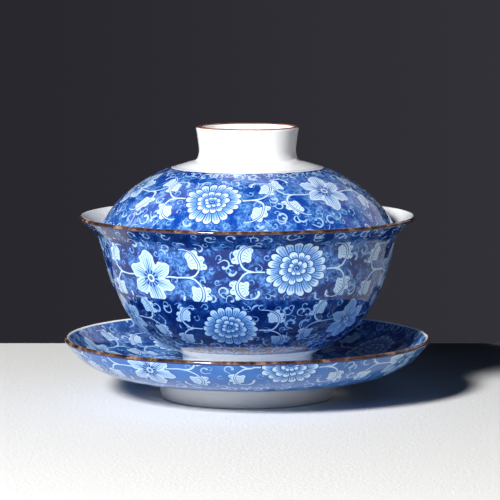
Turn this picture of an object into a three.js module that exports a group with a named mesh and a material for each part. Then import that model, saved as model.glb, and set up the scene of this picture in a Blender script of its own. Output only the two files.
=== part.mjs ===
// A gaiwan: a porcelain tea bowl with a flared mouth, its domed lid and its saucer.
// Every piece is one fired body turned about the Z axis, so each is a lathed outline.
// Millimetres, +Z up, origin at the centre of the saucer's foot, on the table.

import * as THREE from "three";

// Driving dimensions
const BOWL_RIM_RADIUS = 52.5;
const BOWL_HEIGHT = 49.9;
const BOWL_FOOT_RADIUS = 20.4;
const BOWL_FOOT_HEIGHT = 6.4;
const LID_RADIUS = 46.2;
const LID_HEIGHT = 32.7;
const KNOB_RADIUS = 16;
const KNOB_WAIST_RADIUS = 15.1;
const KNOB_HEIGHT = 10;
const SAUCER_RADIUS = 57.4;
const SAUCER_HEIGHT = 19;
const SAUCER_FOOT_RADIUS = 28.2;
const SAUCER_FOOT_HEIGHT = 5.5;

// The wall of each piece thins from its foot or middle to its lip.
const BOWL_WALL = { foot: 2.6, lip: 1.4 };
const LID_WALL = { middle: 2.6, lip: 1.6 };
const KNOB_WALL = { waist: 2, lip: 1.6 };
const SAUCER_WALL = { foot: 2.8, lip: 1.5 };
const FOOT_WALL = 3;
const FOOT_EDGE = 0.6; // rounding of a foot ring's lower edges
const RECESS_DEPTH = 3.6; // of the hollow inside each foot ring

const WELL_HEIGHT = 7; // the flat middle of the saucer, where the bowl stands
const WELL_RADIUS = 25;
const GAP = 0.3; // between pieces that rest on each other
const BOWL_BASE = WELL_HEIGHT + GAP;
const BOWL_RIM = BOWL_BASE + BOWL_HEIGHT;
const LID_SEAT_DEPTH = 4.9; // the lid's edge sits this far below the bowl's rim, in the flare
const LID_BASE = BOWL_RIM - LID_SEAT_DEPTH;

const SEGMENTS_ROUND = 48;
const LIP_STEPS = 4;

const point = (radius, height) => new THREE.Vector2(radius, height);

// A smooth outline through a few points, cut into steps.
function smooth(points, steps) {
  return new THREE.SplineCurve(points).getPoints(steps);
}

// The other side of a wall: the outline moved to the left of its direction of travel, by a
// thickness that changes evenly from its start to its end.
function otherSide(outline, startWall, endWall) {
  const last = outline.length - 1;
  return outline.map((here, i) => {
    const before = outline[Math.max(i - 1, 0)];
    const after = outline[Math.min(i + 1, last)];
    const along = after.clone().sub(before).normalize();
    const wall = THREE.MathUtils.lerp(startWall, endWall, i / last);
    return point(here.x - along.y * wall, here.y + along.x * wall);
  });
}

// The rounded lip between the ends of a wall's two sides: a half circle from one to the other.
function lip(from, to) {
  const centre = from.clone().add(to).multiplyScalar(0.5);
  const points = [];
  for (let i = 1; i < LIP_STEPS; i++) {
    points.push(from.clone().rotateAround(centre, (Math.PI * i) / LIP_STEPS));
  }
  return points;
}

// The underside of a piece: the recess from the axis outwards, then round the foot ring.
function foot(outerRadius, base) {
  const innerRadius = outerRadius - FOOT_WALL;
  return [
    point(0, base + RECESS_DEPTH),
    point(innerRadius - FOOT_EDGE, base + RECESS_DEPTH),
    point(innerRadius, base + FOOT_EDGE),
    point(innerRadius + FOOT_EDGE, base),
    point(outerRadius - FOOT_EDGE, base),
    point(outerRadius, base + FOOT_EDGE),
  ];
}

// A solid turned about Z from an outline that starts on the axis underneath and ends on it on top.
function turned(name, outline, colour) {
  const geometry = new THREE.LatheGeometry(outline, SEGMENTS_ROUND);
  geometry.rotateX(Math.PI / 2);
  const glaze = new THREE.MeshStandardMaterial({ color: colour, roughness: 0.12, metalness: 0 });
  const mesh = new THREE.Mesh(geometry, glaze);
  mesh.name = name;
  return mesh;
}

// The dish: a shallow curved wall on a low tapered foot ring, with a flat well for the bowl.
function saucer() {
  const footTaper = 1.2;
  const underside = smooth(
    [
      point(SAUCER_FOOT_RADIUS, SAUCER_FOOT_HEIGHT),
      point(36, SAUCER_FOOT_HEIGHT + 1.2),
      point(43, SAUCER_FOOT_HEIGHT + 2.5),
      point(49, SAUCER_FOOT_HEIGHT + 4.9),
      point(53.5, SAUCER_FOOT_HEIGHT + 8.1),
      point(SAUCER_RADIUS - 0.3, SAUCER_HEIGHT - 1.2),
    ],
    10,
  );
  const topside = otherSide(underside, SAUCER_WALL.foot, SAUCER_WALL.lip)
    .filter((p) => p.x > WELL_RADIUS + 5)
    .reverse();
  const outline = [
    ...foot(SAUCER_FOOT_RADIUS - footTaper, 0),
    ...underside,
    ...lip(underside.at(-1), topside[0]),
    ...topside,
    point(WELL_RADIUS, WELL_HEIGHT),
    point(0, WELL_HEIGHT),
  ];
  return turned("saucer", outline, "#4f6fb4");
}

// The cup: a rounded bowl that narrows to a waist under its flared mouth, on a foot ring.
function bowl() {
  const floorHeight = BOWL_BASE + BOWL_FOOT_HEIGHT + 0.6;
  const outside = smooth(
    [
      point(BOWL_FOOT_RADIUS, BOWL_BASE + BOWL_FOOT_HEIGHT),
      point(23.2, BOWL_RIM - 41.8),
      point(29, BOWL_RIM - 38.7),
      point(35.2, BOWL_RIM - 33.8),
      point(39.7, BOWL_RIM - 27.3),
      point(43, BOWL_RIM - 19.8),
      point(45.6, BOWL_RIM - 10.3),
      point(46.9, BOWL_RIM - 6.2),
      point(49.2, BOWL_RIM - 3.8),
      point(BOWL_RIM_RADIUS - 0.3, BOWL_RIM - 1.25),
    ],
    18,
  );
  const inside = otherSide(outside, BOWL_WALL.foot, BOWL_WALL.lip)
    .filter((p) => p.y > floorHeight + 2)
    .reverse();
  const outline = [
    ...foot(BOWL_FOOT_RADIUS, BOWL_BASE),
    ...outside,
    ...lip(outside.at(-1), inside[0]),
    ...inside,
    point(BOWL_FOOT_RADIUS * 0.7, floorHeight + 0.4),
    point(0, floorHeight),
  ];
  return turned("bowl", outline, "#3f63b0");
}

// The lid: a dome with a hollow cup-shaped knob, its handle, and its foot when it is turned over.
function lid() {
  const knobTop = LID_BASE + LID_HEIGHT;
  const knobBase = knobTop - KNOB_HEIGHT;
  const domeTop = knobBase - 1.2;
  const dome = smooth(
    [
      point(LID_RADIUS - 0.1, LID_BASE + 1.2),
      point(44.6, LID_BASE + 3.7),
      point(40.9, LID_BASE + 8.7),
      point(36.9, LID_BASE + 12.4),
      point(32.3, LID_BASE + 15.6),
      point(26.6, LID_BASE + 18.6),
      point(KNOB_WAIST_RADIUS + 3, domeTop),
    ],
    12,
  );
  const knob = smooth(
    [
      point(KNOB_WAIST_RADIUS + 0.5, knobBase),
      point(KNOB_WAIST_RADIUS, knobBase + 2.4),
      point(KNOB_WAIST_RADIUS + 0.5, knobTop - 3.4),
      point(KNOB_RADIUS, knobTop - 1),
    ],
    5,
  );
  const underDome = otherSide(dome, LID_WALL.lip, LID_WALL.middle).reverse();
  const knobHollow = otherSide(knob, KNOB_WALL.waist, KNOB_WALL.lip).reverse();
  const outline = [
    point(0, domeTop - LID_WALL.middle),
    ...underDome,
    ...lip(underDome.at(-1), dome[0]),
    ...dome,
    ...knob,
    ...lip(knob.at(-1), knobHollow[0]),
    ...knobHollow,
    point(0, domeTop + 0.4),
  ];
  return turned("lid", outline, "#5573bd");
}

const gaiwan = new THREE.Group();
gaiwan.add(saucer(), bowl(), lid());

export default gaiwan;
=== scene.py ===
"""A blue and white porcelain gaiwan: fine turned surfaces and a printed flower glaze."""

import math

import bpy
import numpy as np
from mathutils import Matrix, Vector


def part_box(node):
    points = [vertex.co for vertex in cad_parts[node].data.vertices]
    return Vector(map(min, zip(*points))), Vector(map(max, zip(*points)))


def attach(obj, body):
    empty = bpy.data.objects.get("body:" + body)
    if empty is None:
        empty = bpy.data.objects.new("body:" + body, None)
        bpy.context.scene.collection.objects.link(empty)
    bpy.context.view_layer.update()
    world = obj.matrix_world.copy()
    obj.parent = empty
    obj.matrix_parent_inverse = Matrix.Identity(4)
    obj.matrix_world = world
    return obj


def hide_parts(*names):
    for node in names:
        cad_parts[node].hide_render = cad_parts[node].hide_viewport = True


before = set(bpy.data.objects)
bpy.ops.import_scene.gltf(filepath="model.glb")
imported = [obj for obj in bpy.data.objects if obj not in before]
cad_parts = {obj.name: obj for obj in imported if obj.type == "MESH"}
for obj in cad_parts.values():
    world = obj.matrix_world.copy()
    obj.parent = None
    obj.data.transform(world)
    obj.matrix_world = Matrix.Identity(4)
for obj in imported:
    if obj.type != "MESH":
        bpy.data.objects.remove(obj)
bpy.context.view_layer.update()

MM = 0.001

# The pieces' sizes in millimetres, read from the frame where it gives them.


def top_of(node):
    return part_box(node)[1][2] / MM


def base_of(node):
    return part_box(node)[0][2] / MM


BOWL_BASE = base_of("bowl")
BOWL_RIM = top_of("bowl")
BOWL_RIM_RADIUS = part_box("bowl")[1][0] / MM
BOWL_FOOT_RADIUS = 20.4
BOWL_FOOT_HEIGHT = 6.4
LID_BASE = base_of("lid")
KNOB_TOP = top_of("lid")
LID_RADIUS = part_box("lid")[1][0] / MM
KNOB_RADIUS = 16
KNOB_WAIST_RADIUS = 15.1
KNOB_HEIGHT = 10
SAUCER_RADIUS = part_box("saucer")[1][0] / MM
SAUCER_TOP = top_of("saucer")
SAUCER_FOOT_RADIUS = 28.2
SAUCER_FOOT_HEIGHT = 5.5
LID_PRINT_END = 30.8  # from the lid's edge, along its dome
WELL_HEIGHT = 7
WELL_RADIUS = 25
FOOT_WALL = 3
FOOT_ROUNDING = 0.7
RECESS_DEPTH = 3.6
RECESS_TAPER = 0.8  # how much narrower the recess inside a foot ring is at its top

SAUCER_WALL = (2.8, 1.5)  # at the foot, at the lip
BOWL_WALL = (2.6, 1.4)  # at the foot, at the lip
LID_WALL = (1.6, 2.6)  # at the lip, in the middle
KNOB_WALL = (2, 1.6)  # at the waist, at the rim

SEGMENTS_ROUND = 256


# ---- Outlines: lists of (radius, height) points in millimetres ----


def smooth(points, steps):
    """A Catmull-Rom curve through a few points, cut into steps."""
    pts = np.array(points, float)
    last = len(pts) - 1
    result = []
    for t in np.linspace(0, last, steps + 1):
        i = min(int(t), last - 1)
        w = t - i
        p0, p1, p2, p3 = pts[max(i - 1, 0)], pts[i], pts[i + 1], pts[min(i + 2, last)]
        result.append(
            0.5 * (2 * p1 + (p2 - p0) * w + (2 * p0 - 5 * p1 + 4 * p2 - p3) * w**2
                   + (3 * p1 - p0 - 3 * p2 + p3) * w**3)
        )
    return np.array(result)


def other_side(outline, start_wall, end_wall):
    """The far side of a wall: the outline moved to the left of its direction of travel."""
    along = np.gradient(outline, axis=0)
    along /= np.linalg.norm(along, axis=1)[:, None]
    wall = np.linspace(start_wall, end_wall, len(outline))[:, None]
    return outline + wall * np.column_stack([-along[:, 1], along[:, 0]])


def half_round(start, end, steps=10):
    """The half circle from one end of a wall to the other, without its two ends."""
    start, end = np.array(start), np.array(end)
    centre = (start + end) / 2
    spoke = start - centre
    turns = np.linspace(0, math.pi, steps + 1)[1:-1]
    across = np.array([-spoke[1], spoke[0]])
    return np.array([centre + spoke * math.cos(a) + across * math.sin(a) for a in turns])


def rounded(corners, radius, steps=5):
    """A path through corners, each one between the ends cut by a small curve."""
    pts = np.array(corners, float)
    result = [pts[0]]
    for before, corner, after in zip(pts, pts[1:], pts[2:]):
        reach_in = min(radius, np.linalg.norm(before - corner) / 2)
        reach_out = min(radius, np.linalg.norm(after - corner) / 2)
        start = corner + (before - corner) / np.linalg.norm(before - corner) * reach_in
        end = corner + (after - corner) / np.linalg.norm(after - corner) * reach_out
        for t in np.linspace(0, 1, steps + 1):
            result.append((1 - t) ** 2 * start + 2 * t * (1 - t) * corner + t**2 * end)
    result.append(pts[-1])
    return np.array(result)


def foot(outer_radius, base, joint_radius, joint_height):
    """The recess and the foot ring, from the axis underneath to where the ring meets the wall."""
    inner_radius = outer_radius - FOOT_WALL
    return rounded(
        [
            (0, base + RECESS_DEPTH),
            (inner_radius - RECESS_TAPER, base + RECESS_DEPTH),
            (inner_radius, base),
            (outer_radius, base),
            (joint_radius, joint_height),
        ],
        FOOT_ROUNDING,
    )


# ---- Lathed meshes ----


def arc_lengths(outline):
    steps = np.linalg.norm(np.diff(outline, axis=0), axis=1)
    return np.concatenate([[0], np.cumsum(steps)])


PRINTS = ("bowl", "lid", "saucer_top", "saucer_under")
PLAIN_SHARE = 0.16  # of a texture's height, for all the zones without a print
LIP_WEIGHT = 6  # a lip's strip is this many times taller for its length than a plain zone's
STRIP_GAP = 0.004


def unrolled(surface, corner_zones, zone_materials):
    """The zones laid out on one square for a texture.

    Each print is cut into four quarter turns. Every other zone is one strip, a whole turn long.
    """
    sheet = np.zeros_like(surface)
    prints = [z for z, material in enumerate(zone_materials) if material in PRINTS]
    plain = [z for z in range(len(zone_materials)) if z not in prints]
    heights = {}
    for z in plain:
        spread = np.ptp(surface[corner_zones == z, 1])
        heights[z] = spread * LIP_WEIGHT if "lip" in zone_materials[z] else spread
    floor = 0
    for z in plain:
        here = corner_zones == z
        height = heights[z] / sum(heights.values()) * PLAIN_SHARE
        low, spread = surface[here, 1].min(), np.ptp(surface[here, 1])
        share = (surface[here, 1] - low) / spread
        y = floor + STRIP_GAP / 2 + share * (height - STRIP_GAP)
        sheet[here] = np.column_stack([surface[here, 0], y])
        floor += height
    row_height = (1 - PLAIN_SHARE) / (2 * len(prints))
    for z in prints:
        here = np.where(corner_zones == z)[0]
        low, spread = surface[here, 1].min(), np.ptp(surface[here, 1])
        share = (surface[here, 1] - low) / spread
        middles = surface[here, 0].reshape(-1, 4).mean(axis=1)
        quarter = np.repeat(np.floor(middles * 4), 4)
        across = surface[here, 0] * 4 - quarter
        x = (quarter % 2 + STRIP_GAP + across * (1 - 2 * STRIP_GAP)) / 2
        y = floor + (quarter // 2) * row_height + STRIP_GAP / 2 + share * (row_height - STRIP_GAP)
        sheet[here] = np.column_stack([x, y])
        floor += 2 * row_height
    return sheet


def turned(name, zones, lip_zone, materials):
    """A mesh turned about Z from an outline given as zones [(material, points), ...].

    Its UV map "Surface" holds turns round the axis from the -Y side towards +X, and the distance
    along the outline from the middle of the lip zone, in millimetres.
    """
    outline = np.vstack([points for _, points in zones])
    zone_of_point = np.concatenate([[i] * len(points) for i, (_, points) in enumerate(zones)])
    keep = np.concatenate([[True], np.linalg.norm(np.diff(outline, axis=0), axis=1) > 1e-4])
    outline, zone_of_point = outline[keep], zone_of_point[keep]
    distance = arc_lengths(outline)
    lip_points = np.where(zone_of_point == lip_zone)[0]
    distance -= distance[lip_points].mean()

    rings = len(outline) - 2
    angles = np.arange(SEGMENTS_ROUND) / SEGMENTS_ROUND * 2 * math.pi
    circle = np.column_stack([np.sin(angles), -np.cos(angles)])
    vertices = [(0, 0, outline[0][1] * MM)]
    for radius, height in outline[1:-1]:
        for x, y in circle * radius:
            vertices.append((x * MM, y * MM, height * MM))
    vertices.append((0, 0, outline[-1][1] * MM))

    def at(ring, column):
        return 1 + ring * SEGMENTS_ROUND + column % SEGMENTS_ROUND

    faces, surface, slots = [], [], []
    for column in range(SEGMENTS_ROUND):
        u0, u1 = column / SEGMENTS_ROUND, (column + 1) / SEGMENTS_ROUND
        middle = (u0 + u1) / 2
        faces.append((0, at(0, column + 1), at(0, column)))
        surface += [(middle, distance[0]), (u1, distance[1]), (u0, distance[1])]
        slots.append(zone_of_point[1])
        for ring in range(rings - 1):
            low, high = distance[ring + 1], distance[ring + 2]
            lower = (at(ring, column), at(ring, column + 1))
            upper = (at(ring + 1, column + 1), at(ring + 1, column))
            faces.append(lower + upper)
            surface += [(u0, low), (u1, low), (u1, high), (u0, high)]
            slots.append(zone_of_point[ring + 2])
        faces.append((at(rings - 1, column), at(rings - 1, column + 1), len(vertices) - 1))
        surface += [(u0, distance[-2]), (u1, distance[-2]), (middle, distance[-1])]
        slots.append(zone_of_point[-1])

    mesh = bpy.data.meshes.new(name)
    mesh.from_pydata(vertices, [], faces)
    mesh.uv_layers.new(name="Surface").data.foreach_set("uv", np.array(surface, np.float32).ravel())
    corner_zones = np.repeat(slots, [len(face) for face in faces])
    sheet = unrolled(np.array(surface), corner_zones, [material for material, _ in zones])
    mesh.uv_layers.new(name="OFBake").data.foreach_set("uv", sheet.astype(np.float32).ravel())
    used = []
    for material, _ in zones:
        if material not in used:
            used.append(material)
    for material in used:
        mesh.materials.append(materials[material])
    slot_of_zone = [used.index(material) for material, _ in zones]
    mesh.polygons.foreach_set("material_index", [slot_of_zone[z] for z in slots])
    mesh.shade_smooth()
    mesh.update()
    piece = bpy.data.objects.new(name, mesh)
    bpy.context.collection.objects.link(piece)
    return piece


# ---- Formulas as shader nodes ----


class Field:
    """A number that varies over a surface. Its operators add math nodes to the tree being built."""

    tree = None

    def __init__(self, socket):
        self.socket = socket

    def __add__(self, other):
        return math_node("ADD", self, other)

    def __radd__(self, other):
        return math_node("ADD", other, self)

    def __sub__(self, other):
        return math_node("SUBTRACT", self, other)

    def __rsub__(self, other):
        return math_node("SUBTRACT", other, self)

    def __mul__(self, other):
        return math_node("MULTIPLY", self, other)

    def __rmul__(self, other):
        return math_node("MULTIPLY", other, self)

    def __truediv__(self, other):
        return math_node("DIVIDE", self, other)

    def __pow__(self, other):
        return math_node("POWER", self, other)

    def __neg__(self):
        return math_node("MULTIPLY", self, -1)

    def __abs__(self):
        return math_node("ABSOLUTE", self)


def connect(value, socket):
    if isinstance(value, Field):
        Field.tree.links.new(value.socket, socket)
    else:
        socket.default_value = value


def math_node(operation, *values):
    node = Field.tree.nodes.new("ShaderNodeMath")
    node.operation = operation
    for value, socket in zip(values, node.inputs):
        connect(value, socket)
    return Field(node.outputs[0])


def sine(x):
    return math_node("SINE", x)


def cosine(x):
    return math_node("COSINE", x)


def root(x):
    return math_node("SQRT", x)


def fraction(x):
    return math_node("FRACT", x)


def whole(x):
    return math_node("FLOOR", x)


def lesser(a, b):
    return math_node("MINIMUM", a, b)


def greater(a, b):
    return math_node("MAXIMUM", a, b)


def angle_of(x, y):
    return math_node("ARCTAN2", y, x)


def length_of(x, y):
    return root(x * x + y * y)


def ramp(x, low, high):
    """0 below low, 1 above high and smooth between them, or falling where high is the lesser."""
    node = Field.tree.nodes.new("ShaderNodeMapRange")
    node.interpolation_type = "SMOOTHSTEP"
    connect(x, node.inputs["Value"])
    connect(low, node.inputs["From Min"])
    connect(high, node.inputs["From Max"])
    return Field(node.outputs["Result"])


def blend(a, b, share):
    node = Field.tree.nodes.new("ShaderNodeMix")
    node.data_type = "FLOAT"
    connect(share, node.inputs["Factor"])
    connect(a, node.inputs[2])
    connect(b, node.inputs[3])
    return Field(node.outputs[0])


def noise(scale, detail=2, roughness=0.5, place=None):
    """Cloudy noise from 0 to 1, at a number of lumps per millimetre of the object."""
    node = Field.tree.nodes.new("ShaderNodeTexNoise")
    Field.tree.links.new((place or object_place()).socket, node.inputs["Vector"])
    node.inputs["Scale"].default_value = scale / MM
    node.inputs["Detail"].default_value = detail
    node.inputs["Roughness"].default_value = roughness
    return Field(node.outputs["Fac"])


def object_place():
    node = Field.tree.nodes.new("ShaderNodeTexCoord")
    return Field(node.outputs["Object"])


def parts_of(place):
    """The X, Y and Z of a place."""
    node = Field.tree.nodes.new("ShaderNodeSeparateXYZ")
    Field.tree.links.new(place.socket, node.inputs[0])
    return [Field(output) for output in node.outputs]


def surface_place():
    """Turns round the axis, distance along the outline and radius, the last two in millimetres."""
    uv = Field.tree.nodes.new("ShaderNodeUVMap")
    uv.uv_map = "Surface"
    turns, distance, _ = parts_of(Field(uv.outputs["UV"]))
    x, y, _ = parts_of(object_place())
    return turns, distance, length_of(x, y) / MM


def random_of(*seeds):
    """A random number from 0 to 1, the same wherever its seeds are the same."""
    node = Field.tree.nodes.new("ShaderNodeTexWhiteNoise")
    node.noise_dimensions = "3D"
    join = Field.tree.nodes.new("ShaderNodeCombineXYZ")
    for seed, socket in zip(seeds, join.inputs):
        connect(seed, socket)
    Field.tree.links.new(join.outputs[0], node.inputs["Vector"])
    return Field(node.outputs["Value"])


# ---- The printed pattern ----
#
# Motifs are drawn in millimetres about their own middle. Each gives its cover, from 0 to 1, and its
# tone, from 0 for the darkest cobalt to 1 for the palest.

EDGE = 0.12  # softness of a printed edge
CLEMATIS_REACH = 8.6
STALK_REACH = 13.2  # from a bloom's middle to where its stalk parts into two leaves
LEAF_BEND = 3.5  # radius of the arc that a leaf's rib follows
LEAF_SIZE = 1.28  # every length of a leaf is scaled by this
LEAF_END = 1.85  # the angle along that arc where the rib turns into its last hook
HOOK_BEND = 1.2  # radius of that hook's arc
STALK_OFFSET = 0.9  # from the middle of a bloom to its stalk, up on one kind and down on the other
WANDER = 1.8  # how far noise moves a motif's points
TENDRIL_LAYERS = ((38, 6.3, 3.0), (47, 5.2, 11.0))  # cells round the piece, row height, seed
SMALL_TENDRILS = (58, 4.2, 23.0)  # the same, for the layer of small ones behind them
SMALL_TENDRIL_SIZE = 0.62
SMALL_TENDRIL_TONE = 0.72
TENDRIL_TONE = 0.84
STALK_TONE = 0.95
BELOW_WAIST_SHADE = (23, 28)  # distances from the bowl's lip between which painted shade darkens its print, where the lower bowl faces down towards the saucer


def painted(tone, cover, new_tone):
    return blend(tone, new_tone, cover)


MUM_RINGS = (  # number of petals, reach, length of the round tip, offset in petals, dark outline
    (19, 9.9, 2.3, 0.3, 0.2),
    (12, 6.0, 1.8, 0.1, 0.2),
    (8, 3.2, 1.2, 0.0, 0.15),
)


def chrysanthemum(x, y):
    """Three rings of round-tipped petals about a small whorl."""
    radius, turn = length_of(x, y), angle_of(x, y) / (2 * math.pi)
    cover = 0
    tone = 0.2
    for petals, reach, tip, offset, outline in MUM_RINGS:
        place = turn * petals + offset + petals
        wobble = (random_of(whole(place), offset + 0.5) - 0.5) * 1.1
        phase = fraction(place) * 2 - 1
        across = abs(phase)
        inside = root(greater(1 - across * across, 0)) * tip + (reach - tip) + wobble - radius
        petal_cover = ramp(inside, -outline, EDGE - outline)
        half_width = reach * math.pi / petals
        from_edge = lesser(inside, (1 - across) * half_width)
        grooves = ramp(abs(across - 0.38), 0.2, 0.05) * ramp(inside, 0.7, 1.5) * 0.26
        body = ramp(radius, reach * 0.42, reach * 0.9) * 0.3 + 0.56 - grooves
        white_tip = ramp(inside, 1.9, 0.6) * 0.4
        petal = blend(0.16, lesser(body + white_tip, 0.98), ramp(from_edge, 0.08, 0.34))
        tone = petal if cover == 0 else painted(tone, petal_cover, petal)
        cover = petal_cover if cover == 0 else cover
    whorl = sine(radius * 6.5 + turn * (2 * math.pi)) * 0.3 + 0.42
    return cover, painted(tone, ramp(radius, 1.25, 1.1), whorl)


def clematis(x, y):
    """Six broad pointed petals with veins, stamens and a ring in the middle."""
    radius, turn = length_of(x, y), angle_of(x, y) / (2 * math.pi)
    sector = 2 * math.pi / 6
    away = (fraction(turn * 6 + 0.1 + sine(turn * (4 * math.pi)) * 0.1) - 0.5) * sector
    along = radius * cosine(away) / CLEMATIS_REACH
    across = abs(radius * sine(away))
    width = (1 - abs(along * 2 - 1.08) ** 2.4) * 2.8 + sine(along * 19 + turn * 40) * 0.26
    inside = lesser(width, along * 5 + 0.2) - across
    cover = ramp(inside, -0.22, -0.1)
    veins = cosine(across * (2 * math.pi / 0.75) - along * 4) * ramp(along, 1, 0.5) * 0.16
    body = ramp(along, 0.1, 0.65) * 0.28 + 0.58 + veins
    white_rim = ramp(inside, 0.9, 0.35) * 0.4
    tone = blend(0.3, lesser(body + white_rim, 0.97), ramp(inside, 0, 0.12))
    rib = ramp(across, 0.24, 0.1) * ramp(along, 0.75, 0.6)
    tone = painted(tone, rib, 0.35)
    stamens = cosine(turn * (2 * math.pi * 12)) * 0.35 + 0.42
    tone = painted(tone, ramp(radius, 2.9, 2.5) * ramp(inside, 0, 0.1), stamens)
    ring = ramp(abs(radius - 0.95), 0.4, 0.26)
    return cover, painted(tone, ramp(radius, 1.55, 1.4), ring * 0.75 + 0.18)


def arc_stroke(radius, angle, bend, start, end, half_width):
    """The cover of a stroke along an arc of radius bend, from a start angle to an end angle."""
    near = ramp(abs(radius - bend), half_width + EDGE, half_width)
    return near * ramp(angle, start - 0.04, start) * ramp(angle, end + 0.04, end)


LEAF_LOBES = (  # angle along the rib's arc, distance outwards from the rib, radius
    (-0.12, 1.15, 0.75),
    (0.32, 0.95, 0.8),
    (0.78, 0.65, 0.7),
    (-0.2, -2.0, 0.8),
    (0.35, -1.8, 0.95),
    (0.95, -1.35, 0.85),
)


def curled_leaf(x, y, radius, angle):
    """A leaf along an arc about its own middle: a tapering blade on each side, with round lobes."""
    outer = ramp(radius, LEAF_BEND - 0.05, LEAF_BEND + 0.05)
    from_rib = abs(radius - LEAF_BEND)
    taper = 1 - abs((angle - 0.1) / 1.35) ** 1.5
    inside = lesser((2.1 - outer * 1.0) * taper - from_rib, (angle + 0.36) * 4)
    for along, out, size in LEAF_LOBES:
        lobe_x = (LEAF_BEND + out) * math.cos(along)
        lobe_y = (LEAF_BEND + out) * math.sin(along)
        inside = greater(inside, size - length_of(x - lobe_x, y - lobe_y))
    inside = lesser(inside, from_rib - 0.36)
    veins = ramp(cosine(angle * 21 + from_rib * 1.2), 0.4, 0.9) * ramp(inside, 0.15, 0.5)
    return ramp(inside, -0.2, -0.08), blend(0.3, 0.98 - veins * 0.32, ramp(inside, -0.05, 0.08))


def tendril(x, y, turned_by, size):
    """A hook that thickens to a round end, with a short tail."""
    c, s = cosine(turned_by), sine(turned_by)
    x, y = (x * c - y * s) / size, (x * s + y * c) / size
    radius, angle = length_of(x, y), angle_of(x, y)
    hook = arc_stroke(radius, angle, 1.35, -1.5, 2.5, 0.09 + (angle + 1.5) * 0.055)
    tip = ramp(length_of(x + 0.95, y - 0.65), 0.52, 0.4)
    tail = ramp(abs(y + 1.35), 0.18, 0.1) * ramp(x, -1.9, -1.5) * ramp(x, 0.25, 0.15)
    return greater(greater(hook, tip), tail)


def scattered_tendrils(u, v, radius, columns, row_height, seed, size):
    """At most one tendril in each cell of a grid round the piece, at random angles."""
    row = whole(v / row_height)
    shifted = u * columns + random_of(row, seed, 1.0)
    column = whole(shifted)
    cell_width = radius * (2 * math.pi / columns)
    chance = random_of(column, row, seed)
    other = random_of(row, column, seed + 7.0)
    x = (fraction(shifted) - 0.5 + (chance - 0.5) * 0.3) * cell_width
    y = (fraction(v / row_height) - 0.5 + (other - 0.5) * 0.3) * row_height
    present = ramp(fraction(chance * 7 + other * 3), 0.78, 0.77)
    return tendril(x, y, chance * (2 * math.pi), (other * 0.35 + 0.8) * size) * present


def watery_ground(lift):
    """Mottled cobalt: dark still areas, lifted by a tone, with paler stippled clouds."""
    clouds = ramp(noise(0.17, 6, 0.74), 0.43, 0.56)
    stipple = ramp(noise(0.9, 3, 0.7), 0.3, 0.7)
    wash = noise(0.3, 2)
    return clouds * (stipple * 0.46 + 0.13 - lift * 0.5) + wash * 0.14 + lift


def bowl_ground(v):
    """The ground of the bowl, darkened by painted shade in the band under the flare of its mouth and
    below its waist.
    """
    # painted shade: darker below the waist and just under the flared mouth
    return watery_ground(0.06) * (1 - ramp(v, *BELOW_WAIST_SHADE) * 0.55 - ramp(v, 8, 5) * 0.4)


def lid_ground(v):
    """The ground of the lid, which deepens beside its white middle."""
    return watery_ground(0.16) * (1 - ramp(v, 24, 30) * 0.45)


def saucer_ground(v):
    return watery_ground(0.1)


def plain_wash(v):
    """An even mid-blue wash."""
    return noise(0.15, 3) * 0.25 + 0.35


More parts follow.
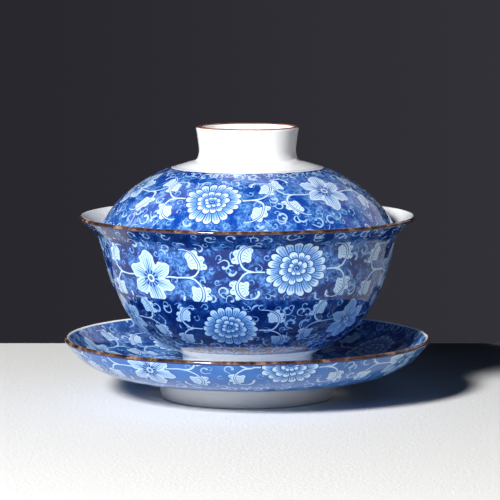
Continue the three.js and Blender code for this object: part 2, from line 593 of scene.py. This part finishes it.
def flower_band(u, v, radius, rows, blooms, ground):
    """The whole print: rows of alternating blooms, each between two pairs of curled leaves.

    rows is [(azimuth in turns, middle, lift, scale)] in order of distance from the lip, and a point
    belongs to the row whose band it is in. blooms is their number round a row. The chrysanthemums
    are centred on middle + lift and the clematis on middle - lift, in millimetres.
    """
    azimuth, middle, lift, scale = rows[0]
    for (a, m, l, s), (_, before, _, _) in zip(rows[1:], rows):
        beyond = ramp(v, (before + m) / 2 - 0.01, (before + m) / 2 + 0.01)
        azimuth, middle = blend(azimuth, a, beyond), blend(middle, m, beyond)
        lift, scale = blend(lift, l, beyond), blend(scale, s, beyond)
    cell = (u - azimuth) * blooms + 0.5
    number = whole(cell)
    odd = abs(number - whole(number / 2) * 2)
    reach = radius * (2 * math.pi / blooms) / scale
    parity = odd * 2 - 1
    x = (fraction(cell) - 0.5) * reach + (noise(0.13, 1) - 0.5) * WANDER
    y = (v - middle + parity * lift) / scale + (noise(0.17, 1) - 0.5) * WANDER

    stalk_y = y + parity * STALK_OFFSET
    leaf_x, leaf_y = (abs(x) - STALK_REACH) / LEAF_SIZE, abs(stalk_y) / LEAF_SIZE - LEAF_BEND
    leaf_radius, leaf_angle = length_of(leaf_x, leaf_y), angle_of(leaf_x, leaf_y)

    clear_of_leaves = ramp(leaf_radius, LEAF_BEND + 1.4, LEAF_BEND + 1.9)
    clear = clear_of_leaves * ramp(length_of(x, y), 9.6, 10.6)
    small = scattered_tendrils(u, v, radius, *SMALL_TENDRILS, SMALL_TENDRIL_SIZE)
    tone = painted(ground, small * ramp(leaf_radius, 0, 1.2), SMALL_TENDRIL_TONE)
    for layer in TENDRIL_LAYERS:
        hooks = scattered_tendrils(u, v, radius, *layer, 1)
        tone = painted(tone, hooks * clear, TENDRIL_TONE)
    tone = painted(tone, *curled_leaf(leaf_x, leaf_y, leaf_radius, leaf_angle))
    taper = 0.21 - (leaf_angle + 1.6) * 0.05
    stroke = arc_stroke(leaf_radius, leaf_angle, LEAF_BEND, -math.pi / 2, LEAF_END, taper)
    hook_x = leaf_x - (LEAF_BEND - HOOK_BEND) * math.cos(LEAF_END)
    hook_y = leaf_y - (LEAF_BEND - HOOK_BEND) * math.sin(LEAF_END)
    hook_radius, hook_angle = length_of(hook_x, hook_y), angle_of(-hook_x, -hook_y)
    hook = arc_stroke(hook_radius, hook_angle, HOOK_BEND, -1.3, 0.7, 0.2)
    hook = hook * ramp(stalk_y, -0.1, 0.1)
    stalk = ramp(abs(stalk_y), 0.31, 0.19) * ramp(abs(x), STALK_REACH + 0.3, STALK_REACH)
    tone = painted(tone, greater(greater(stroke, hook), stalk), STALK_TONE)

    mum_cover, mum_tone = chrysanthemum(x, y * 1.1)
    clematis_cover, clematis_tone = clematis(x, y)
    tone = painted(tone, mum_cover * (1 - odd), mum_tone)
    return painted(tone, clematis_cover * odd, clematis_tone)


# ---- Materials ----

BRIGHT_COBALT_STEPS = (
    (0.0, (0.001, 0.010, 0.13)),
    (0.22, (0.005, 0.042, 0.28)),
    (0.5, (0.05, 0.17, 0.47)),
    (0.75, (0.2, 0.37, 0.67)),
    (1.0, (0.56, 0.69, 0.83)),
)
COBALT_STEPS = (
    (0.0, (0.0004, 0.0035, 0.06)),
    (0.22, (0.004, 0.028, 0.18)),
    (0.5, (0.036, 0.15, 0.45)),
    (0.75, (0.165, 0.35, 0.68)),
    (1.0, (0.5, 0.67, 0.83)),
)
WHITE_GLAZE = (0.86, 0.865, 0.87)
LINE_BLUE = (0.30, 0.38, 0.52)
RIM_NEAR_BLACK = (0.014, 0.009, 0.008)
RIM_BROWN = (0.075, 0.034, 0.022)
# painted highlight: gold patches on the lip stand for glints of light
RIM_PAINTED_HIGHLIGHT = (0.3, 0.19, 0.13)
KNOB_RED = (0.17, 0.035, 0.02)


def colour_steps(x, steps):
    node = Field.tree.nodes.new("ShaderNodeValToRGB")
    elements = node.color_ramp.elements
    while len(elements) < len(steps):
        elements.new(0.5)
    for element, (position, colour) in zip(elements, steps):
        element.position = position
        element.color = (*colour, 1)
    connect(x, node.inputs["Fac"])
    return Field(node.outputs["Color"])


def colour_blend(a, b, share):
    node = Field.tree.nodes.new("ShaderNodeMix")
    node.data_type = "RGBA"
    connect(share, node.inputs["Factor"])
    for value, socket in ((a, node.inputs[6]), (b, node.inputs[7])):
        connect(value if isinstance(value, Field) else (*value, 1), socket)
    return Field(node.outputs[2])


def new_material(name):
    """A material, whose node tree becomes the one being built, and its shader."""
    material = bpy.data.materials.new(name)
    material.use_nodes = True
    Field.tree = material.node_tree
    return material, material.node_tree.nodes["Principled BSDF"]


def add_bump(shader, height, strength, depth):
    """Let a height from 0 to 1 tilt the shading, as if it were a relief of a depth in millimetres."""
    node = Field.tree.nodes.new("ShaderNodeBump")
    node.inputs["Strength"].default_value = strength
    node.inputs["Distance"].default_value = depth * MM
    connect(height, node.inputs["Height"])
    Field.tree.links.new(node.outputs["Normal"], shader.inputs["Normal"])


def glaze(name, colour_of):
    """A glossy glaze over a colour drawn by nodes, with the slight unevenness of a dipped coat."""
    material, shader = new_material(name)
    connect(colour_of(), shader.inputs["Base Color"])
    shader.inputs["Roughness"].default_value = 0.07
    shader.inputs["IOR"].default_value = 1.5
    add_bump(shader, noise(0.14, 1), 0.12, 0.1)
    return material


def white_colour():
    """Bare porcelain under clear glaze, a little bluer where the glaze pools."""
    return colour_blend(WHITE_GLAZE, (0.76, 0.79, 0.84), ramp(noise(0.03, 3), 0.35, 0.75) * 0.5)


def brown_rim(colour, v, half_width):
    """Iron brown along the lip, near black in places, with gold patches that are painted highlights.
    """
    tone_and_highlight = noise(0.25, 4, 0.65)
    # the gold step is a painted highlight, scattered by noise
    brown = colour_steps(tone_and_highlight, ((0.38, RIM_NEAR_BLACK), (0.52, RIM_BROWN), (0.68, RIM_PAINTED_HIGHLIGHT)))
    wander = (noise(0.5, 2) - 0.5) * 0.5
    return colour_blend(colour, brown, ramp(abs(v) + wander, half_width + 0.15, half_width))


def printed(rows, blooms, first, last, ground, paleness=0.0, depth=0.0, steps=COBALT_STEPS):
    """The print between two distances from the lip, on white glaze.

    paleness lifts its dark tones, and depth is the share of its tone taken off below the bowl's waist,
    as painted shade.
    """
    u, v, radius = surface_place()
    v = abs(v)
    tone = flower_band(u, v, radius, rows, blooms, ground(v))
    # painted shade: the tone is darkened below the bowl's waist
    tone = tone * (1 - ramp(v, *BELOW_WAIST_SHADE) * depth)
    cobalt = colour_steps(tone * (1 - paleness) + paleness, steps)
    inside = ramp(v, first, first + 0.2) * ramp(v, last + 0.2, last)
    return colour_blend(white_colour(), cobalt, inside)


def bowl_print():
    rows = [(19 / 360, 16.45, -2.05, 1.0), (-8 / 360, 34.2, 0.5, 0.86)]
    return printed(rows, 6, 0, 50.5, bowl_ground, depth=0.11)


def lid_print():
    """The lid's print, and two thin blue lines round its white middle."""
    rows = [(-16.4 / 360, 17.2, -1.9, 0.92)]
    colour = printed(rows, 6, 0.4, LID_PRINT_END, lid_ground, steps=BRIGHT_COBALT_STEPS)
    v = surface_place()[1]
    lines = ramp(abs(abs(v - LID_PRINT_END - 1.15) - 0.3), 0.16, 0.08)
    return colour_blend(colour, LINE_BLUE, lines * 0.7)


def saucer_top_print():
    rows = [(-60 / 360, 13, 1.0, 0.9), (-37 / 360, 31, 0, 0.75)]
    return printed(rows, 8, 1.2, 36, saucer_ground, paleness=0.12)


def saucer_under_print():
    rows = [(13 / 360, 3, -1.5, 0.9), (30 / 360, 33, 0.5, 0.85)]
    return printed(rows, 8, 0, 31.5, plain_wash)


def lip_colour(outward):
    """Brown on the crest of a lip, and cobalt beside it where v has the sign of outward."""
    v = surface_place()[1]
    ground = colour_blend(white_colour(), COBALT_STEPS[1][1], ramp(v * outward, 0.2, 0.4))
    return brown_rim(ground, v - outward * 0.12, 0.6)


def knob_lip_colour():
    """Iron red on the crest of the knob's rim."""
    height = parts_of(object_place())[2] / MM + (noise(0.3, 2) - 0.5) * 0.25
    red = colour_blend(KNOB_RED, (0.36, 0.12, 0.06), ramp(noise(0.3, 3), 0.4, 0.65))
    return colour_blend(white_colour(), red, ramp(height, KNOB_TOP - 0.5, KNOB_TOP - 0.35))


MATERIALS = {
    "white": glaze("white_glaze", white_colour),
    "lip": glaze("rim_glaze", lambda: lip_colour(-1)),
    "lid_lip": glaze("lid_rim_glaze", lambda: lip_colour(1)),
    "knob_lip": glaze("knob_rim_glaze", knob_lip_colour),
    "bowl": glaze("bowl_print", bowl_print),
    "lid": glaze("lid_print", lid_print),
    "saucer_top": glaze("saucer_top_print", saucer_top_print),
    "saucer_under": glaze("saucer_under_print", saucer_under_print),
}


# ---- The three pieces ----


def make_saucer():
    underside = smooth(
        [
            (SAUCER_FOOT_RADIUS, SAUCER_FOOT_HEIGHT),
            (36, SAUCER_FOOT_HEIGHT + 1.2),
            (43, SAUCER_FOOT_HEIGHT + 2.5),
            (49, SAUCER_FOOT_HEIGHT + 4.9),
            (53.5, SAUCER_FOOT_HEIGHT + 8.1),
            (SAUCER_RADIUS - 0.2, SAUCER_TOP - 1.2),
        ],
        50,
    )
    topside = other_side(underside, *SAUCER_WALL)
    topside = topside[topside[:, 0] > WELL_RADIUS + 5][::-1]
    well = smooth(
        [
            topside[-1],
            (WELL_RADIUS, WELL_HEIGHT + 0.1),
            (WELL_RADIUS - 3, WELL_HEIGHT),
            (0, WELL_HEIGHT),
        ],
        30,
    )
    slope = well[:, 0] > WELL_RADIUS - 1.5
    zones = [
        ("white", foot(SAUCER_FOOT_RADIUS - 1.2, 0, SAUCER_FOOT_RADIUS, SAUCER_FOOT_HEIGHT)),
        ("saucer_under", underside),
        ("lip", half_round(underside[-1], topside[0])),
        ("saucer_top", np.vstack([topside, well[slope]])),
        ("white", well[~slope]),
    ]
    return turned("saucer_porcelain", zones, 2, MATERIALS)


def make_bowl():
    floor_height = BOWL_BASE + BOWL_FOOT_HEIGHT + 0.6
    outside = smooth(
        [
            (BOWL_FOOT_RADIUS, BOWL_BASE + BOWL_FOOT_HEIGHT),
            (23.2, BOWL_RIM - 41.8),
            (29, BOWL_RIM - 38.7),
            (35.2, BOWL_RIM - 33.8),
            (39.7, BOWL_RIM - 27.3),
            (43, BOWL_RIM - 19.8),
            (45.6, BOWL_RIM - 10.3),
            (46.9, BOWL_RIM - 6.2),
            (49.2, BOWL_RIM - 3.8),
            (BOWL_RIM_RADIUS - 0.3, BOWL_RIM - 1.25),
        ],
        90,
    )
    inside = other_side(outside, *BOWL_WALL)
    inside = inside[inside[:, 1] > floor_height + 2][::-1]
    floor = smooth([inside[-1], (BOWL_FOOT_RADIUS * 0.7, floor_height + 0.4), (0, floor_height)], 10)
    zones = [
        ("white", foot(BOWL_FOOT_RADIUS, BOWL_BASE, BOWL_FOOT_RADIUS, BOWL_BASE + BOWL_FOOT_HEIGHT)),
        ("bowl", outside),
        ("lip", half_round(outside[-1], inside[0])),
        ("white", inside),
        ("white", floor),
    ]
    return turned("bowl_porcelain", zones, 2, MATERIALS)


def make_lid():
    knob_base = KNOB_TOP - KNOB_HEIGHT
    dome_top = knob_base - 1.2
    dome = smooth(
        [
            (LID_RADIUS - 0.1, LID_BASE + 1.2),
            (44.6, LID_BASE + 3.7),
            (40.9, LID_BASE + 8.7),
            (36.9, LID_BASE + 12.4),
            (32.3, LID_BASE + 15.6),
            (26.6, LID_BASE + 18.6),
            (KNOB_WAIST_RADIUS + 3, dome_top),
        ],
        60,
    )
    knob = smooth(
        [
            (KNOB_WAIST_RADIUS + 0.5, knob_base),
            (KNOB_WAIST_RADIUS, knob_base + 2.4),
            (KNOB_WAIST_RADIUS + 0.5, KNOB_TOP - 3.4),
            (KNOB_RADIUS, KNOB_TOP - 1),
        ],
        20,
    )
    neck = smooth([dome[-1], (KNOB_WAIST_RADIUS + 1.3, knob_base - 0.75), knob[0]], 8)
    under_dome = other_side(dome, *LID_WALL)[::-1]
    under_dome = np.vstack([[(0, dome_top - LID_WALL[1])], under_dome])
    hollow = other_side(knob, *KNOB_WALL)[::-1]
    hollow_floor = rounded([hollow[-1], (hollow[-1][0], dome_top + 0.4), (0, dome_top + 0.4)], 1)
    zones = [
        ("white", under_dome),
        ("lid_lip", half_round(under_dome[-1], dome[0])),
        ("lid", dome),
        ("white", neck[1:-1]),
        ("white", knob),
        ("knob_lip", half_round(knob[-1], hollow[0])),
        ("white", hollow),
        ("white", hollow_floor[1:]),
    ]
    return turned("lid_porcelain", zones, 1, MATERIALS)


pieces = {}
for make, node, slot in (
    (make_saucer, "saucer", "saucer_porcelain"),
    (make_bowl, "bowl", "bowl_porcelain"),
    (make_lid, "lid", "lid_porcelain"),
):
    piece = make()
    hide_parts(node)
    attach(piece, node)
    pieces[node] = piece


# ---- Table, light and camera ----


def make_table():
    """A pale cloth-covered table top, whose far edge is close behind the saucer."""
    far_edge, near_edge, half_width, thickness = 0.119, -1.6, 1.6, 0.03
    mesh = bpy.data.meshes.new("table")
    corners = [
        (-half_width, near_edge),
        (half_width, near_edge),
        (half_width, far_edge),
        (-half_width, far_edge),
    ]
    vertices = [(x, y, z) for z in (-thickness, 0) for x, y in corners]
    faces = [(3, 2, 1, 0), (4, 5, 6, 7)] + [(i, (i + 1) % 4, (i + 1) % 4 + 4, i + 4) for i in range(4)]
    mesh.from_pydata(vertices, [], faces)
    table = bpy.data.objects.new("table", mesh)
    bpy.context.collection.objects.link(table)
    material, shader = new_material("table_cloth")
    cloth = colour_blend((0.72, 0.715, 0.705), (0.84, 0.835, 0.825), noise(0.9, 4, 0.7))
    connect(cloth, shader.inputs["Base Color"])
    shader.inputs["Roughness"].default_value = 0.9
    shader.inputs["Specular IOR Level"].default_value = 0
    add_bump(shader, noise(0.8, 4, 0.7), 0.5, 0.4)
    mesh.materials.append(material)
    return table


HAZE = (0.86, 0.84, 1.0)


def area_light(name, azimuth, elevation, distance, size, power, colour=(1, 1, 1), only_gloss=False):
    """A square light that faces the bowl, seen from the object at an azimuth from -Y towards +X."""
    light = bpy.data.lights.new(name, "AREA")
    light.size = size
    light.energy = power
    light.color = colour
    lamp = bpy.data.objects.new(name, light)
    a, e = math.radians(azimuth), math.radians(elevation)
    target = np.array([0, 0, 0.04])
    away = np.array([math.cos(e) * math.sin(a), -math.cos(e) * math.cos(a), math.sin(e)])
    lamp.location = target + away * distance
    lamp.rotation_euler = (math.pi / 2 - e, 0, a)
    lamp.visible_diffuse = not only_gloss
    lamp.visible_camera = False
    bpy.context.collection.objects.link(lamp)
    return lamp


def light_only(lamp, name, receivers):
    """Let a lamp light only the given pieces."""
    collection = bpy.data.collections.new(name)
    for piece in receivers:
        collection.objects.link(piece)
    lamp.light_linking.receiver_collection = collection


def streak(lamp, lowest):
    """Branch-like dark streaks across the part of a lamp that is higher than lowest, in metres."""
    lamp.data.use_nodes = True
    Field.tree = lamp.data.node_tree
    place = Field(Field.tree.nodes.new("ShaderNodeNewGeometry").outputs["Position"])
    branches = ramp(noise(0.0035, 4, 0.7, place), 0.5, 0.54)
    high = ramp(parts_of(place)[2], lowest, lowest + 0.1)
    connect(1 - branches * high * 0.85, Field.tree.nodes["Emission"].inputs["Strength"])


def make_camera():
    distance, height, side, degrees_down = 0.94, 0.1479, 0.0008, 6.185
    data = bpy.data.cameras.new("camera")
    data.sensor_width = 36
    data.lens = 217.8
    camera = bpy.data.objects.new("camera", data)
    camera.location = (side, -distance, height)
    camera.rotation_euler = (math.radians(90 - degrees_down), 0, 0)
    bpy.context.collection.objects.link(camera)
    bpy.context.scene.camera = camera


def make_backdrop():
    """A dark grey backdrop all round and below, whose glow is painted light on cloth, brighter to the
    right; it sheds no light.
    """
    radius, floor, top, segments = 2.2, -0.7, 2.4, 64
    vertices = []
    for i in range(segments):
        a = 2 * math.pi * i / segments
        x, y = radius * math.cos(a), radius * math.sin(a)
        vertices += [(x, y, floor), (x, y, top)]
    count = len(vertices)
    faces = [(i, (i + 2) % count, (i + 3) % count, i + 1) for i in range(0, count, 2)]
    faces.append(tuple(range(0, count, 2)))
    mesh = bpy.data.meshes.new("backdrop")
    mesh.from_pydata(vertices, [], faces)
    backdrop = bpy.data.objects.new("backdrop", mesh)
    backdrop.visible_diffuse = False
    backdrop.visible_shadow = False
    bpy.context.collection.objects.link(backdrop)
    material, shader = new_material("backdrop_painted_light")
    shader.inputs["Base Color"].default_value = (0, 0, 0, 1)
    shader.inputs["Roughness"].default_value = 1
    shader.inputs["Specular IOR Level"].default_value = 0
    # painted light: the backdrop glows, more brightly to the right, in place of lit cloth
    painted_light_to_right = ramp(parts_of(object_place())[0], -0.45, 0.55)
    colour = colour_blend((0.0205, 0.0195, 0.0250), (0.0360, 0.0345, 0.0430), painted_light_to_right)
    connect(colour, shader.inputs["Emission Color"])
    shader.inputs["Emission Strength"].default_value = 1
    mesh.materials.append(material)
    return backdrop


def make_world():
    world = bpy.data.worlds.new("studio")
    world.use_nodes = True
    background = world.node_tree.nodes["Background"]
    background.inputs["Color"].default_value = (0.004, 0.004, 0.005, 1)
    bpy.context.scene.world = world


make_table()
make_backdrop()
# Azimuth and elevation in degrees, distance and size in metres, power in watts.
area_light("key", -29, 28, 1.3, 0.22, 33)
area_light("ceiling_glow", 180, 57, 2, 0.6, 1.6, HAZE, only_gloss=True)
right_window = area_light("right_window", 134, 36, 1.5, 1.25, 4.4, HAZE, only_gloss=True)
streak(right_window, 0.75)
left_window = area_light("left_window", -125, 44, 1.5, 0.9, 2.6, HAZE, only_gloss=True)
light_only(left_window, "lit_by_left_window", [pieces["lid"]])
back_fill = area_light("back_fill", 152, 14, 1.5, 0.8, 10)
light_only(back_fill, "lit_by_back_fill", pieces.values())
back_fill.visible_glossy = False
make_camera()
make_world()
bpy.context.scene.view_settings.view_transform = "Standard"
